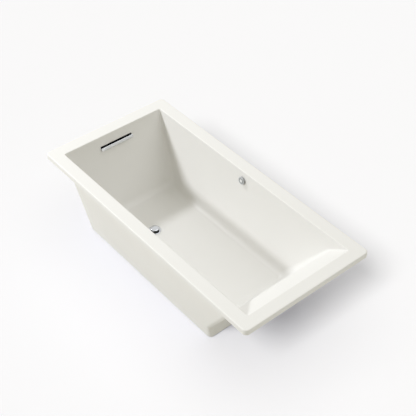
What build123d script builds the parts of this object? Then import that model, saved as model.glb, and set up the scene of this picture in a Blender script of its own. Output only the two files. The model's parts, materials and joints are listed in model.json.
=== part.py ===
"""Drop-in bathtub: acrylic bath, backing jacket, base, waste, slot overflow and a push button.

Millimetres, +Z up. The origin is on the ground under the middle of the rim. +X points to the
sloping backrest, -X to the drain end, -Y to the near long side.
"""
from build123d import *
from math import cos, radians, sin, tan
import os

# Overall size
bath_length = 1676.0
bath_width = 813.0
bath_height = 508.0

# Rim and lip
rim_drain_end = 77.0
rim_backrest_end = 70.0
rim_side = 75.5
rim_thickness = 6.0
rim_corner_radius = 25.0
rim_edge_radius = 5.0
rim_inner_edge_radius = 3.0
lip_height = 30.0
lip_thickness = 6.0

# Basin
floor_rise = 63.0
shell_wall = 5.0
drain_wall_lean = 19.5
side_wall_lean = 6.2
neck_depth = 78.0
neck_slope = 34.4
backrest_lean = 33.9
basin_corner_top_radius = 9.0
basin_corner_floor_radius = 50.0
floor_fillet_radius = 45.0
cut_overshoot = 10.0

# Backing jacket
jacket_wall = 4.0
bond_gap = 1.0
backrest_gap = 4.0
jacket_drain_top_inset = 66.0
jacket_drain_lean = 10.9
jacket_end_clearance = 36.5
jacket_back_corner_radius = 25.0
jacket_edge_radius = 20.0
jacket_flange_width = 60.0
window_margin = 3.0

# Base board and bearers
board_thickness = 18.0
board_drain_clearance = 70.0
board_foot_clearance = 37.5
board_width = 460.0
board_screw_ends = 40.0
board_screw_rows = 4
board_screw_radius = 2.4
board_screw_head_radius = 4.8
board_screw_head_angle = 82.0
board_screw_length = 45.0
screw_clearance = 0.1
bearer_width = 45.0
bearer_distance = 340.0
bearer_inset = 20.0
block_length = 100.0
block_width = 60.0
block_foot_distance = 103.4
block_distance = 340.0

# Rim battens
batten_width = 44.0
batten_height = 20.0
batten_side_length = 1300.0
batten_end_length = 600.0
batten_lip_gap = 2.0

# Drain and stopper
drain_foot_distance = 263.4
drain_y = -45.5
drain_flange_radius = 36.5
drain_flange_thickness = 3.0
drain_flange_edge_radius = 1.8
drain_seal_thickness = 1.0
drain_body_radius = 23.0
drain_bore_radius = 19.0
drain_body_length = 28.0
drain_hole_clearance = 1.0
drain_thread_clearance = 0.3
seat_radius = 26.0
seat_depth = 2.0
crossbar_thickness = 5.0
crossbar_width = 5.0
hub_radius = 7.0
post_radius = 4.0
post_height = 25.0
stopper_travel = 10.0
stopper_cap_radius = 24.0
stopper_cap_thickness = 4.5
stopper_crown = 2.5
stopper_seal_radius = 22.5
stopper_seal_thickness = 3.0
stopper_sleeve_radius = 7.0
stopper_sleeve_length = 25.0
running_clearance = 0.3

# Waste pipes
pipe_radius = 19.0
pipe_wall = 2.0
pipe_fit_gap = 0.3
pipe_drop = 30.0
pipe_end_gap = 2.0
socket_wall = 2.7
socket_depth = 25.0
fitting_reach = 50.0
tee_height = 67.0
tailpiece_length = 110.0
tailpiece_bead_radius = 21.0
tailpiece_bead_width = 3.0
tailpiece_bead_gap = 1.5
stack_inset = 46.0
nut_wall = 3.7
nut_over_socket = 12.0
nut_past_socket = 10.0
nut_web = 4.0
nut_ribs = 12
nut_rib_radius = 1.6
washer_fit_gap = 0.2
shoe_radius = 28.0
shoe_flange_radius = 40.0
shoe_flange_thickness = 5.0
shoe_bottom_gap = 8.0
shoe_gasket_thickness = 2.0
shoe_reach = 60.0

# Slot overflow
overflow_drop = 70.0
slot_length = 216.0
slot_height = 28.0
slot_corner_radius = 5.0
slot_above_bar = 10.0
overflow_flange_margin = 18.0
overflow_flange_height = 72.0
overflow_flange_thickness = 4.0
overflow_gasket_thickness = 2.0
overflow_body_length = 212.0
overflow_body_height = 58.0
overflow_body_inset = 22.0
overflow_body_wall = 3.0
spigot_length = 30.0
trim_length = 220.0
trim_height = 17.0
trim_thickness = 6.0
trim_standoff = 4.0
trim_pin_radius = 4.0
trim_pin_spacing = 150.0
trim_pin_length = 22.0
trim_edge_radius = 2.0
boss_wall = 3.0
stud_radius = 2.5
stud_base_radius = 6.0
stud_length = 16.0
stud_nut_height = 4.0
stud_nut_radius = 4.6
stud_edge_distance = 8.5
stud_row_distance = 40.0

# Push button
button_x = -15.0
button_drop = 56.0
bezel_radius = 22.0
bezel_height = 11.0
bezel_edge_radius = 2.0
button_gasket_thickness = 1.0
button_gasket_inset = 1.0
button_tube_radius = 14.0
button_tube_wall = 1.1
button_tube_length = 27.0
button_hole_clearance = 0.5
button_cap_radius = 16.9
button_cap_height = 6.0
button_cap_edge_radius = 1.5
button_well_depth = 7.0
button_web = 2.0
button_stem_radius = 4.0
button_stem_length = 18.0
button_travel = 2.0
ring_outer_radius = 20.5
ring_inner_radius = 18.2
ring_depth = 1.5
ring_proud = 0.2
button_nut_radius = 20.0
button_nut_height = 8.0
switch_back_radius = 15.0
switch_back_length = 10.0

# Heated backrest
mat_length = 280.0
mat_width = 440.0
mat_thickness = 2.0
mat_centre_share = 0.5
mat_corner_radius = 12.0
control_box_length = 130.0
control_box_depth = 52.0
control_box_height = 50.0
control_box_gap = 12.0
control_box_rim_gap = 38.0
control_box_radius = 4.0
gland_radius = 6.0
gland_length = 12.0

os.makedirs("parts", exist_ok=True)

floor_z = floor_rise
basin_depth = bath_height - floor_rise
shell_under_z = floor_z - shell_wall
jacket_top_z = bath_height - rim_thickness
lip_bottom_z = bath_height - lip_height
basin_drain_x = -bath_length / 2 + rim_drain_end
basin_back_x = bath_length / 2 - rim_backrest_end
basin_half_width = bath_width / 2 - rim_side
neck_run = neck_depth / tan(radians(neck_slope))
backrest_run = (basin_depth - neck_depth) * tan(radians(backrest_lean))
backrest_foot_x = basin_back_x - neck_run - backrest_run
drain_foot_x = basin_drain_x + basin_depth * tan(radians(drain_wall_lean))
drain_x = drain_foot_x + drain_foot_distance
block_centre_x = drain_foot_x + block_foot_distance
board_start = drain_x + board_drain_clearance
board_end = backrest_foot_x - board_foot_clearance
jacket_end_x = backrest_foot_x + jacket_end_clearance
pipe_centre_height = shell_under_z - pipe_drop
side_skin = shell_wall + bond_gap + jacket_wall
back_skin = shell_wall + backrest_gap + jacket_wall


def drain_wall_x(z, grow):
    """Length position of the basin's drain-end wall at height z, moved out square by grow."""
    lean = radians(drain_wall_lean)
    return basin_drain_x + (bath_height - z) * tan(lean) - grow / cos(lean)


def backrest_x(z, grow):
    """Length position of the lower backrest at height z, moved out square by grow."""
    lean = radians(backrest_lean)
    return backrest_foot_x + (z - floor_z) * tan(lean) + grow / cos(lean)


def neck_x(z, grow):
    """Length position of the shallow neck rest at height z, moved out square by grow."""
    slope = radians(neck_slope)
    return basin_back_x - (bath_height - z) / tan(slope) + grow / sin(slope)


def crease_z(grow):
    """Height where the neck rest meets the lower backrest, both moved out by grow."""
    lean_rate = tan(radians(backrest_lean))
    neck_rate = 1 / tan(radians(neck_slope))
    return floor_z + (backrest_x(floor_z, grow) - neck_x(floor_z, grow)) / (neck_rate - lean_rate)


def side_half_width(z, grow):
    """Half the width between the long walls at height z, moved out square by grow."""
    lean = radians(side_wall_lean)
    return basin_half_width - (bath_height - z) * tan(lean) + grow / cos(lean)


def basin_corner_radius(z, grow):
    """Radius of the basin's upright corners: small at the rim and full at the floor."""
    share = (bath_height - z) / basin_depth
    return basin_corner_top_radius + share * (basin_corner_floor_radius - basin_corner_top_radius) + grow


def basin_block(grow, top_z):
    """Solid that fills the basin up to top_z, with every wall moved out square by grow."""
    bottom_z = floor_z - grow
    with BuildPart() as block:
        for z in (bottom_z, crease_z(grow), top_z):
            start = drain_wall_x(z, grow)
            finish = neck_x(z, grow) if z > bottom_z else backrest_x(z, grow)
            with BuildSketch(Plane.XY.offset(z)):
                with Locations(((start + finish) / 2, 0)):
                    RectangleRounded(
                        finish - start,
                        2 * side_half_width(z, grow),
                        basin_corner_radius(z, grow),
                    )
        loft(ruled=True)
        fillet(block.edges().group_by(Axis.Z)[0], floor_fillet_radius + grow)
    return block.part


def jacket_section(z, finish, inset):
    """Outline of the jacket at height z, ending at finish, drawn in by inset."""
    grow = side_skin - inset
    lean = radians(jacket_drain_lean)
    start = -bath_length / 2 + jacket_drain_top_inset + (bath_height - z) * tan(lean) + inset / cos(lean)
    half = side_half_width(z, grow)
    with BuildSketch(Plane.XY.offset(z)) as section:
        with Locations(((start + finish) / 2, 0)):
            Rectangle(finish - start, 2 * half)
        ends = section.vertices().group_by(Axis.X)
        fillet(ends[0], basin_corner_radius(z, grow))
        ends = section.vertices().group_by(Axis.X)
        fillet(ends[-1], jacket_back_corner_radius - inset)
    return section.sketch


def jacket_block(inset, bottom_z, top_z):
    """Solid outline of the jacket, drawn in square by inset, from bottom_z to top_z."""
    grow = back_skin - inset
    end_x = jacket_end_x - inset
    fold_z = floor_z + (end_x - backrest_x(floor_z, grow)) / tan(radians(backrest_lean))
    levels = (
        (bottom_z, end_x),
        (fold_z, end_x),
        (crease_z(grow), neck_x(crease_z(grow), grow)),
        (top_z, neck_x(top_z, grow)),
    )
    with BuildPart() as block:
        for z, finish in levels:
            add(jacket_section(z, finish, inset))
        loft(ruled=True)
        fillet(block.edges().group_by(Axis.Z)[0], jacket_edge_radius - inset)
    return block.part


def ring(plane, outer_radius, inner_radius, length):
    """Plain ring or tube that stands on a plane."""
    with BuildPart() as piece:
        with BuildSketch(plane):
            Circle(outer_radius)
            Circle(inner_radius, mode=Mode.SUBTRACT)
        extrude(amount=length)
    return piece.part


def disc(plane, radius, length):
    """Plain round bar that stands on a plane."""
    with BuildPart() as piece:
        with BuildSketch(plane):
            Circle(radius)
        extrude(amount=length)
    return piece.part


# Frames on the two walls that carry fittings
overflow_z = bath_height - overflow_drop
overflow_plane = Plane(
    origin=(drain_wall_x(overflow_z, 0), 0, overflow_z),
    x_dir=(0, 1, 0),
    z_dir=(cos(radians(drain_wall_lean)), 0, sin(radians(drain_wall_lean))),
)
button_z = bath_height - button_drop
button_plane = Plane(
    origin=(button_x, side_half_width(button_z, 0), button_z),
    x_dir=(1, 0, 0),
    z_dir=(0, -cos(radians(side_wall_lean)), sin(radians(side_wall_lean))),
)
slot_centre_y = trim_height / 2 + slot_above_bar - slot_height / 2
drain_plane = Plane(origin=(drain_x, drain_y, floor_z), z_dir=(0, 0, 1))

# Bath shell: rim, lip and basin in one moulding
basin_outside = basin_block(shell_wall, bath_height)
basin_inside = basin_block(0, bath_height + cut_overshoot)
with BuildPart() as bath_shell:
    with BuildSketch(Plane.XY.offset(lip_bottom_z)):
        RectangleRounded(bath_length, bath_width, rim_corner_radius)
    extrude(amount=lip_height)
    fillet(bath_shell.edges().group_by(Axis.Z)[-1], rim_edge_radius)
    with BuildSketch(Plane.XY.offset(lip_bottom_z)):
        RectangleRounded(
            bath_length - 2 * lip_thickness,
            bath_width - 2 * lip_thickness,
            rim_corner_radius - lip_thickness,
        )
    extrude(amount=lip_height - rim_thickness, mode=Mode.SUBTRACT)
    add(basin_outside)
    add(basin_inside, mode=Mode.SUBTRACT)
    rim_face = bath_shell.faces().filter_by(Axis.Z).sort_by(Axis.Z)[-1]
    fillet(rim_face.inner_wires()[0].edges(), rim_inner_edge_radius)
    with BuildSketch(drain_plane):
        Circle(drain_body_radius + drain_hole_clearance)
    extrude(amount=-2 * shell_wall, mode=Mode.SUBTRACT)
    with BuildSketch(overflow_plane):
        with Locations((0, slot_centre_y)):
            RectangleRounded(slot_length, slot_height, slot_corner_radius)
    extrude(amount=2 * shell_wall, both=True, mode=Mode.SUBTRACT)
    with BuildSketch(button_plane):
        Circle(button_tube_radius + button_hole_clearance)
    extrude(amount=2 * shell_wall, both=True, mode=Mode.SUBTRACT)
bath_shell.part.label = "bath_shell"
export_step(bath_shell.part, "parts/bath_shell.step")

# Overflow: gasket and rear body clamped behind the slot
flange_length = slot_length + 2 * overflow_flange_margin
gasket_plane = overflow_plane.offset(-shell_wall)
flange_plane = gasket_plane.offset(-overflow_gasket_thickness)
flange_back_plane = flange_plane.offset(-overflow_flange_thickness)
stud_spacing = flange_length - 2 * stud_edge_distance
stack_x = -bath_length / 2 + stack_inset
socket_radius = pipe_radius + pipe_fit_gap
fitting_radius = socket_radius + socket_wall

with BuildPart() as overflow_gasket:
    with BuildSketch(gasket_plane):
        RectangleRounded(flange_length, overflow_flange_height, slot_corner_radius)
        with Locations((0, slot_centre_y)):
            RectangleRounded(slot_length, slot_height, slot_corner_radius, mode=Mode.SUBTRACT)
        with GridLocations(stud_spacing, stud_row_distance, 2, 2):
            Circle(stud_base_radius + pipe_fit_gap, mode=Mode.SUBTRACT)
    extrude(amount=-overflow_gasket_thickness)
overflow_gasket.part.label = "overflow_gasket"
export_step(overflow_gasket.part, "parts/overflow_gasket.step")

body_back_x = -bath_length / 2 + overflow_body_inset
body_bottom_z = overflow_z - overflow_body_height / 2
body_front_x = drain_wall_x(body_bottom_z, 0)
body_depth = body_front_x - body_back_x
boss_radius = trim_pin_radius + running_clearance + boss_wall
with BuildPart() as body_outside:
    with BuildSketch(Plane.XY.offset(body_bottom_z)):
        with Locations((body_back_x + body_depth / 2, 0)):
            Rectangle(body_depth, overflow_body_length)
    extrude(amount=overflow_body_height)
    fillet(body_outside.edges().filter_by(Axis.Y).group_by(Axis.X)[0], overflow_body_wall)
    split(bisect_by=flange_back_plane, keep=Keep.BOTTOM)
with BuildPart() as body_inside:
    with BuildSketch(Plane.XY.offset(body_bottom_z + overflow_body_wall)):
        with Locations((body_back_x + overflow_body_wall + body_depth / 2, 0)):
            Rectangle(body_depth, overflow_body_length - 2 * overflow_body_wall)
    extrude(amount=overflow_body_height - 2 * overflow_body_wall)
    split(bisect_by=flange_plane, keep=Keep.BOTTOM)

boss_back_plane = overflow_plane.offset(-trim_pin_length - boss_wall)
with BuildPart() as pin_bosses:
    with BuildSketch(boss_back_plane):
        with GridLocations(trim_pin_spacing, 0, 2, 1):
            Rectangle(2 * boss_radius, 2 * overflow_body_height)
    extrude(amount=trim_pin_length + boss_wall)
    add(body_outside.part, mode=Mode.INTERSECT)

spigot_top = Plane(origin=(stack_x, drain_y, body_bottom_z), z_dir=(0, 0, 1))
spigot_end = spigot_top.offset(-spigot_length)
with BuildPart() as overflow_body:
    add(body_outside.part)
    with BuildSketch(flange_back_plane):
        RectangleRounded(flange_length, overflow_flange_height, slot_corner_radius)
    extrude(amount=overflow_flange_thickness)
    with BuildSketch(spigot_end):
        Circle(fitting_radius)
    extrude(amount=spigot_length)
    add(body_inside.part, mode=Mode.SUBTRACT)
    add(pin_bosses.part)
    with BuildSketch(spigot_end):
        Circle(socket_radius)
    extrude(amount=socket_depth, mode=Mode.SUBTRACT)
    with BuildSketch(spigot_end):
        Circle(pipe_radius - pipe_wall)
    extrude(amount=spigot_length + overflow_body_wall, mode=Mode.SUBTRACT)
    with BuildSketch(flange_back_plane):
        with GridLocations(stud_spacing, stud_row_distance, 2, 2):
            Circle(stud_radius + screw_clearance)
    extrude(amount=overflow_flange_thickness, mode=Mode.SUBTRACT)
    with BuildSketch(overflow_plane.offset(-trim_pin_length - running_clearance)):
        with GridLocations(trim_pin_spacing, 0, 2, 1):
            Circle(trim_pin_radius + running_clearance)
    extrude(amount=trim_pin_length, mode=Mode.SUBTRACT)
overflow_body.part.label = "overflow_body"
export_step(overflow_body.part, "parts/overflow_body.step")

with BuildPart() as overflow_studs:
    with BuildSketch(gasket_plane):
        with GridLocations(stud_spacing, stud_row_distance, 2, 2):
            Circle(stud_base_radius)
    extrude(amount=-overflow_gasket_thickness)
    with BuildSketch(flange_plane):
        with GridLocations(stud_spacing, stud_row_distance, 2, 2):
            Circle(stud_radius)
    extrude(amount=-stud_length)
overflow_studs.part.label = "overflow_studs"
export_step(overflow_studs.part, "parts/overflow_studs.step")

with BuildPart() as overflow_nuts:
    with BuildSketch(flange_back_plane):
        with GridLocations(stud_spacing, stud_row_distance, 2, 2):
            RegularPolygon(stud_nut_radius, 6)
            Circle(stud_radius + screw_clearance, mode=Mode.SUBTRACT)
    extrude(amount=-stud_nut_height)
overflow_nuts.part.label = "overflow_nuts"
export_step(overflow_nuts.part, "parts/overflow_nuts.step")

# Overflow trim: a polished bar that stands off the wall in front of the slot
trim_front_plane = overflow_plane.offset(trim_standoff + trim_thickness)
with BuildPart() as overflow_trim:
    with BuildSketch(overflow_plane.offset(trim_standoff)):
        RectangleRounded(trim_length, trim_height, trim_edge_radius)
    extrude(amount=trim_thickness)
    front_edges = overflow_trim.edges().filter_by(Axis.Y).sort_by_distance(trim_front_plane.origin)[:2]
    fillet(front_edges, trim_edge_radius)
    with BuildSketch(overflow_plane.offset(-trim_pin_length)):
        with GridLocations(trim_pin_spacing, 0, 2, 1):
            Circle(trim_pin_radius)
    extrude(amount=trim_pin_length + trim_standoff)
overflow_trim.part.label = "overflow_trim"
export_step(overflow_trim.part, "parts/overflow_trim.step")

# Waste: tee at the foot of the overflow stack, outlet along the drain end
tee_centre = (stack_x, drain_y, pipe_centre_height)
tee_up = Plane(origin=tee_centre, x_dir=(1, 0, 0), z_dir=(0, 0, 1))
tee_in = Plane(origin=tee_centre, x_dir=(0, 1, 0), z_dir=(1, 0, 0))
tee_out = Plane(origin=tee_centre, x_dir=(0, 0, 1), z_dir=(0, 1, 0))
tee_arms = ((tee_up, tee_height), (tee_in, fitting_reach), (tee_out, fitting_reach))
with BuildPart() as waste_tee:
    for arm, reach in tee_arms:
        with BuildSketch(arm):
            Circle(fitting_radius)
        extrude(amount=reach)
    with Locations(tee_centre):
        Sphere(fitting_radius)
    for arm, reach in tee_arms:
        with BuildSketch(arm):
            Circle(pipe_radius - pipe_wall)
        extrude(amount=reach, mode=Mode.SUBTRACT)
        with BuildSketch(arm.offset(reach - socket_depth)):
            Circle(socket_radius)
        extrude(amount=socket_depth, mode=Mode.SUBTRACT)
waste_tee.part.label = "waste_tee"
export_step(waste_tee.part, "parts/waste_tee.step")

stack_bottom = tee_up.offset(tee_height - socket_depth + pipe_end_gap)
stack_length = spigot_end.origin.Z + socket_depth - pipe_end_gap - stack_bottom.origin.Z
with BuildPart() as overflow_pipe:
    add(ring(stack_bottom, pipe_radius, pipe_radius - pipe_wall, stack_length))
overflow_pipe.part.label = "overflow_pipe"
export_step(overflow_pipe.part, "parts/overflow_pipe.step")

tailpiece_plane = tee_out.offset(fitting_reach - socket_depth + pipe_end_gap)
bead_plane = tee_out.offset(fitting_reach + nut_past_socket + tailpiece_bead_gap)
with BuildPart() as waste_tailpiece:
    add(ring(tailpiece_plane, pipe_radius, pipe_radius - pipe_wall, tailpiece_length))
    add(ring(bead_plane, tailpiece_bead_radius, pipe_radius - pipe_wall, tailpiece_bead_width))
waste_tailpiece.part.label = "waste_tailpiece"
export_step(waste_tailpiece.part, "parts/waste_tailpiece.step")

# Drain shoe under the basin floor, with its pipe to the tee
shoe_gasket_plane = drain_plane.offset(-shell_wall)
shoe_top_plane = shoe_gasket_plane.offset(-shoe_gasket_thickness)
shoe_height = shoe_top_plane.origin.Z - shoe_bottom_gap
shoe_axis = Plane(origin=(drain_x, drain_y, pipe_centre_height), x_dir=(0, 1, 0), z_dir=(-1, 0, 0))
thread_radius = drain_body_radius + drain_thread_clearance
with BuildPart() as drain_shoe_gasket:
    add(ring(shoe_top_plane, shoe_flange_radius, thread_radius, shoe_gasket_thickness))
drain_shoe_gasket.part.label = "drain_shoe_gasket"
export_step(drain_shoe_gasket.part, "parts/drain_shoe_gasket.step")

with BuildPart() as drain_shoe:
    with BuildSketch(shoe_top_plane):
        Circle(shoe_radius)
    extrude(amount=-shoe_height)
    with BuildSketch(shoe_top_plane):
        Circle(shoe_flange_radius)
    extrude(amount=-shoe_flange_thickness)
    with BuildSketch(shoe_axis):
        Circle(fitting_radius)
    extrude(amount=shoe_reach)
    with BuildSketch(shoe_top_plane):
        Circle(thread_radius)
    extrude(amount=-(shoe_height - pipe_wall), mode=Mode.SUBTRACT)
    with BuildSketch(shoe_axis):
        Circle(pipe_radius - pipe_wall)
    extrude(amount=shoe_reach, mode=Mode.SUBTRACT)
    with BuildSketch(shoe_axis.offset(shoe_reach - socket_depth)):
        Circle(socket_radius)
    extrude(amount=socket_depth, mode=Mode.SUBTRACT)
drain_shoe.part.label = "drain_shoe"
export_step(drain_shoe.part, "parts/drain_shoe.step")

shoe_pipe_start = shoe_axis.offset(shoe_reach - socket_depth + pipe_end_gap)
shoe_pipe_length = shoe_pipe_start.origin.X - stack_x - fitting_reach + socket_depth - pipe_end_gap
with BuildPart() as shoe_pipe:
    add(ring(shoe_pipe_start, pipe_radius, pipe_radius - pipe_wall, shoe_pipe_length))
shoe_pipe.part.label = "shoe_pipe"
export_step(shoe_pipe.part, "parts/shoe_pipe.step")

# Slip joints: a ribbed nut and a taper washer on each socket
socket_mouths = (
    spigot_end.rotated((180, 0, 0)),
    tee_up.offset(tee_height),
    tee_in.offset(fitting_reach),
    tee_out.offset(fitting_reach),
)
nut_inner_radius = fitting_radius + pipe_fit_gap
nut_outer_radius = nut_inner_radius + nut_wall
nut_room = nut_past_socket - nut_web
with BuildPart() as slip_nuts:
    for mouth in socket_mouths:
        with BuildSketch(mouth.offset(-nut_over_socket)):
            Circle(nut_outer_radius)
            with PolarLocations(nut_outer_radius, nut_ribs):
                Circle(nut_rib_radius, mode=Mode.SUBTRACT)
            Circle(nut_inner_radius, mode=Mode.SUBTRACT)
        extrude(amount=nut_over_socket + nut_room)
        with BuildSketch(mouth.offset(nut_room)):
            Circle(nut_outer_radius)
            with PolarLocations(nut_outer_radius, nut_ribs):
                Circle(nut_rib_radius, mode=Mode.SUBTRACT)
            Circle(socket_radius, mode=Mode.SUBTRACT)
        extrude(amount=nut_web)
slip_nuts.part.label = "slip_nuts"
export_step(slip_nuts.part, "parts/slip_nuts.step")

with BuildPart() as slip_washers:
    for mouth in socket_mouths:
        with BuildSketch(mouth):
            Circle(fitting_radius)
            Circle(pipe_radius + washer_fit_gap, mode=Mode.SUBTRACT)
        extrude(amount=nut_room)
slip_washers.part.label = "slip_washers"
export_step(slip_washers.part, "parts/slip_washers.step")

# Drain flange with its crossbar, seat and stopper post
with BuildPart() as drain_seal:
    add(ring(drain_plane, drain_flange_radius - 2 * drain_seal_thickness,
             drain_body_radius + drain_hole_clearance, drain_seal_thickness))
drain_seal.part.label = "drain_seal"
export_step(drain_seal.part, "parts/drain_seal.step")

flange_base_plane = drain_plane.offset(drain_seal_thickness)
flange_top_plane = flange_base_plane.offset(drain_flange_thickness)
crossbar_plane = flange_base_plane.offset(-drain_body_length)
with BuildPart() as drain_flange:
    with BuildSketch(flange_base_plane):
        Circle(drain_flange_radius)
    extrude(amount=drain_flange_thickness)
    rim_edge = drain_flange.edges().filter_by(GeomType.CIRCLE).group_by(Axis.Z)[-1]
    fillet(rim_edge, drain_flange_edge_radius)
    with BuildSketch(crossbar_plane):
        Circle(drain_body_radius)
    extrude(amount=drain_body_length)
    with BuildSketch(crossbar_plane):
        Circle(drain_bore_radius)
    extrude(amount=drain_body_length + drain_flange_thickness, mode=Mode.SUBTRACT)
    with BuildSketch(flange_top_plane.offset(-seat_depth)):
        Circle(seat_radius)
    extrude(amount=seat_depth, mode=Mode.SUBTRACT)
    with BuildSketch(crossbar_plane):
        Circle(hub_radius)
        Rectangle(2 * drain_bore_radius + crossbar_width, crossbar_width)
        Rectangle(crossbar_width, 2 * drain_bore_radius + crossbar_width)
    extrude(amount=crossbar_thickness)
drain_flange.part.label = "drain_flange"
export_step(drain_flange.part, "parts/drain_flange.step")

post_plane = crossbar_plane.offset(crossbar_thickness)
with BuildPart() as stopper_post:
    add(disc(post_plane, post_radius, post_height))
stopper_post.part.label = "stopper_post"
export_step(stopper_post.part, "parts/stopper_post.step")

# Toe-tap stopper, drawn raised
seal_plane = flange_top_plane.offset(stopper_travel + running_clearance - seat_depth)
cap_plane = seal_plane.offset(stopper_seal_thickness)
with BuildPart() as stopper_cap:
    with BuildSketch(cap_plane):
        Circle(stopper_cap_radius)
    extrude(amount=stopper_cap_thickness)
    cap_edge = stopper_cap.edges().filter_by(GeomType.CIRCLE).group_by(Axis.Z)[-1]
    fillet(cap_edge, stopper_crown)
    with BuildSketch(cap_plane):
        Circle(stopper_sleeve_radius)
    extrude(amount=-stopper_sleeve_length)
    with BuildSketch(cap_plane.offset(-stopper_sleeve_length)):
        Circle(post_radius + running_clearance)
    extrude(amount=stopper_sleeve_length, mode=Mode.SUBTRACT)
stopper_cap.part.label = "stopper_cap"
export_step(stopper_cap.part, "parts/stopper_cap.step")

with BuildPart() as stopper_seal:
    seal_bore_radius = stopper_sleeve_radius + washer_fit_gap
    add(ring(seal_plane, stopper_seal_radius, seal_bore_radius, stopper_seal_thickness))
stopper_seal.part.label = "stopper_seal"
export_step(stopper_seal.part, "parts/stopper_seal.step")

# Push button on the far wall
well_floor = button_plane.offset(button_gasket_thickness + bezel_height - button_well_depth)
bezel_plane = button_plane.offset(button_gasket_thickness)
tube_end_plane = button_plane.offset(-button_tube_length)
tube_bore_radius = button_tube_radius - button_tube_wall
web_depth = button_gasket_thickness + bezel_height - button_well_depth - button_web
tube_bore_depth = button_tube_length + web_depth
face_point = bezel_plane.offset(2 * bezel_height).origin
with BuildPart() as button_gasket:
    add(ring(button_plane, bezel_radius - button_gasket_inset, button_tube_radius, button_gasket_thickness))
button_gasket.part.label = "button_gasket"
export_step(button_gasket.part, "parts/button_gasket.step")

with BuildPart() as button_bezel:
    with BuildSketch(bezel_plane):
        Circle(bezel_radius)
    extrude(amount=bezel_height)
    outer_edge = button_bezel.edges().filter_by(GeomType.CIRCLE).sort_by_distance(face_point)[0]
    fillet(outer_edge, bezel_edge_radius)
    with BuildSketch(tube_end_plane):
        Circle(button_tube_radius)
    extrude(amount=button_tube_length + button_gasket_thickness)
    with BuildSketch(well_floor):
        Circle(button_cap_radius + running_clearance)
    extrude(amount=button_well_depth, mode=Mode.SUBTRACT)
    with BuildSketch(tube_end_plane):
        Circle(tube_bore_radius)
    extrude(amount=tube_bore_depth, mode=Mode.SUBTRACT)
    with BuildSketch(tube_end_plane):
        Circle(button_stem_radius + running_clearance)
    extrude(amount=button_tube_length + bezel_height, mode=Mode.SUBTRACT)
    with BuildSketch(bezel_plane.offset(bezel_height - ring_depth)):
        Circle(ring_outer_radius)
        Circle(ring_inner_radius, mode=Mode.SUBTRACT)
    extrude(amount=ring_depth, mode=Mode.SUBTRACT)
button_bezel.part.label = "button_bezel"
export_step(button_bezel.part, "parts/button_bezel.step")

with BuildPart() as button_ring:
    add(ring(bezel_plane.offset(bezel_height - ring_depth), ring_outer_radius, ring_inner_radius,
             ring_depth + ring_proud))
button_ring.part.label = "button_ring"
export_step(button_ring.part, "parts/button_ring.step")

cap_bottom_plane = well_floor.offset(button_travel + running_clearance)
with BuildPart() as button_cap:
    with BuildSketch(cap_bottom_plane):
        Circle(button_cap_radius)
    extrude(amount=button_cap_height)
    outer_edge = button_cap.edges().filter_by(GeomType.CIRCLE).sort_by_distance(face_point)[0]
    fillet(outer_edge, button_cap_edge_radius)
    with BuildSketch(cap_bottom_plane):
        Circle(button_stem_radius)
    extrude(amount=-button_stem_length)
button_cap.part.label = "button_cap"
export_step(button_cap.part, "parts/button_cap.step")

stem_end_plane = cap_bottom_plane.offset(-button_stem_length)
switch_top_plane = stem_end_plane.offset(-button_travel - running_clearance)
switch_length = (switch_top_plane.origin - tube_end_plane.origin).length
with BuildPart() as button_switch:
    with BuildSketch(tube_end_plane):
        Circle(tube_bore_radius - running_clearance)
    extrude(amount=switch_length)
    with BuildSketch(tube_end_plane):
        Circle(switch_back_radius)
    extrude(amount=-switch_back_length)
button_switch.part.label = "button_switch"
export_step(button_switch.part, "parts/button_switch.step")

jacket_face_plane = button_plane.offset(-side_skin)
with BuildPart() as button_nut:
    with BuildSketch(jacket_face_plane):
        RegularPolygon(button_nut_radius, 6)
        Circle(button_tube_radius + screw_clearance, mode=Mode.SUBTRACT)
    extrude(amount=-button_nut_height)
button_nut.part.label = "button_nut"
export_step(button_nut.part, "parts/button_nut.step")

# Backing jacket: the white outer skin that carries the rim down to the ground
jacket_outside = jacket_block(0, 0, jacket_top_z)
jacket_inside = jacket_block(jacket_wall, jacket_wall, jacket_top_z + cut_overshoot)
jacket_foot_x = -bath_length / 2 + jacket_drain_top_inset + bath_height * tan(radians(jacket_drain_lean))
jacket_foot_half = side_half_width(0, side_skin)
foot_opening_start = jacket_foot_x + jacket_flange_width
foot_opening_end = jacket_end_x - jacket_flange_width
pipe_notch_half = nut_outer_radius + pipe_fit_gap
window_bottom_z = flange_back_plane.origin.Z - overflow_flange_height / 2 - window_margin
with BuildPart() as outer_jacket:
    add(jacket_outside)
    add(jacket_inside, mode=Mode.SUBTRACT)
    with BuildSketch(Plane.XY):
        with Locations(((foot_opening_start + foot_opening_end) / 2, 0)):
            RectangleRounded(
                foot_opening_end - foot_opening_start,
                2 * (jacket_foot_half - jacket_flange_width),
                jacket_back_corner_radius,
            )
    extrude(amount=2 * jacket_wall, mode=Mode.SUBTRACT)
    with BuildSketch(Plane.XY):
        with Locations((jacket_foot_x, drain_y)):
            Rectangle(4 * jacket_flange_width, 2 * pipe_notch_half)
    extrude(amount=pipe_centre_height + pipe_notch_half, mode=Mode.SUBTRACT)
    with BuildSketch(Plane.XY.offset(window_bottom_z)):
        with Locations((-bath_length / 2 + jacket_drain_top_inset, 0)):
            Rectangle(2 * jacket_drain_top_inset, flange_length + 2 * window_margin)
    extrude(amount=overflow_flange_height + 2 * window_margin, mode=Mode.SUBTRACT)
    with BuildSketch(jacket_face_plane):
        Circle(button_tube_radius + button_hole_clearance)
    extrude(amount=2 * jacket_wall, both=True, mode=Mode.SUBTRACT)
outer_jacket.part.label = "outer_jacket"
export_step(outer_jacket.part, "parts/outer_jacket.step")

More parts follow.
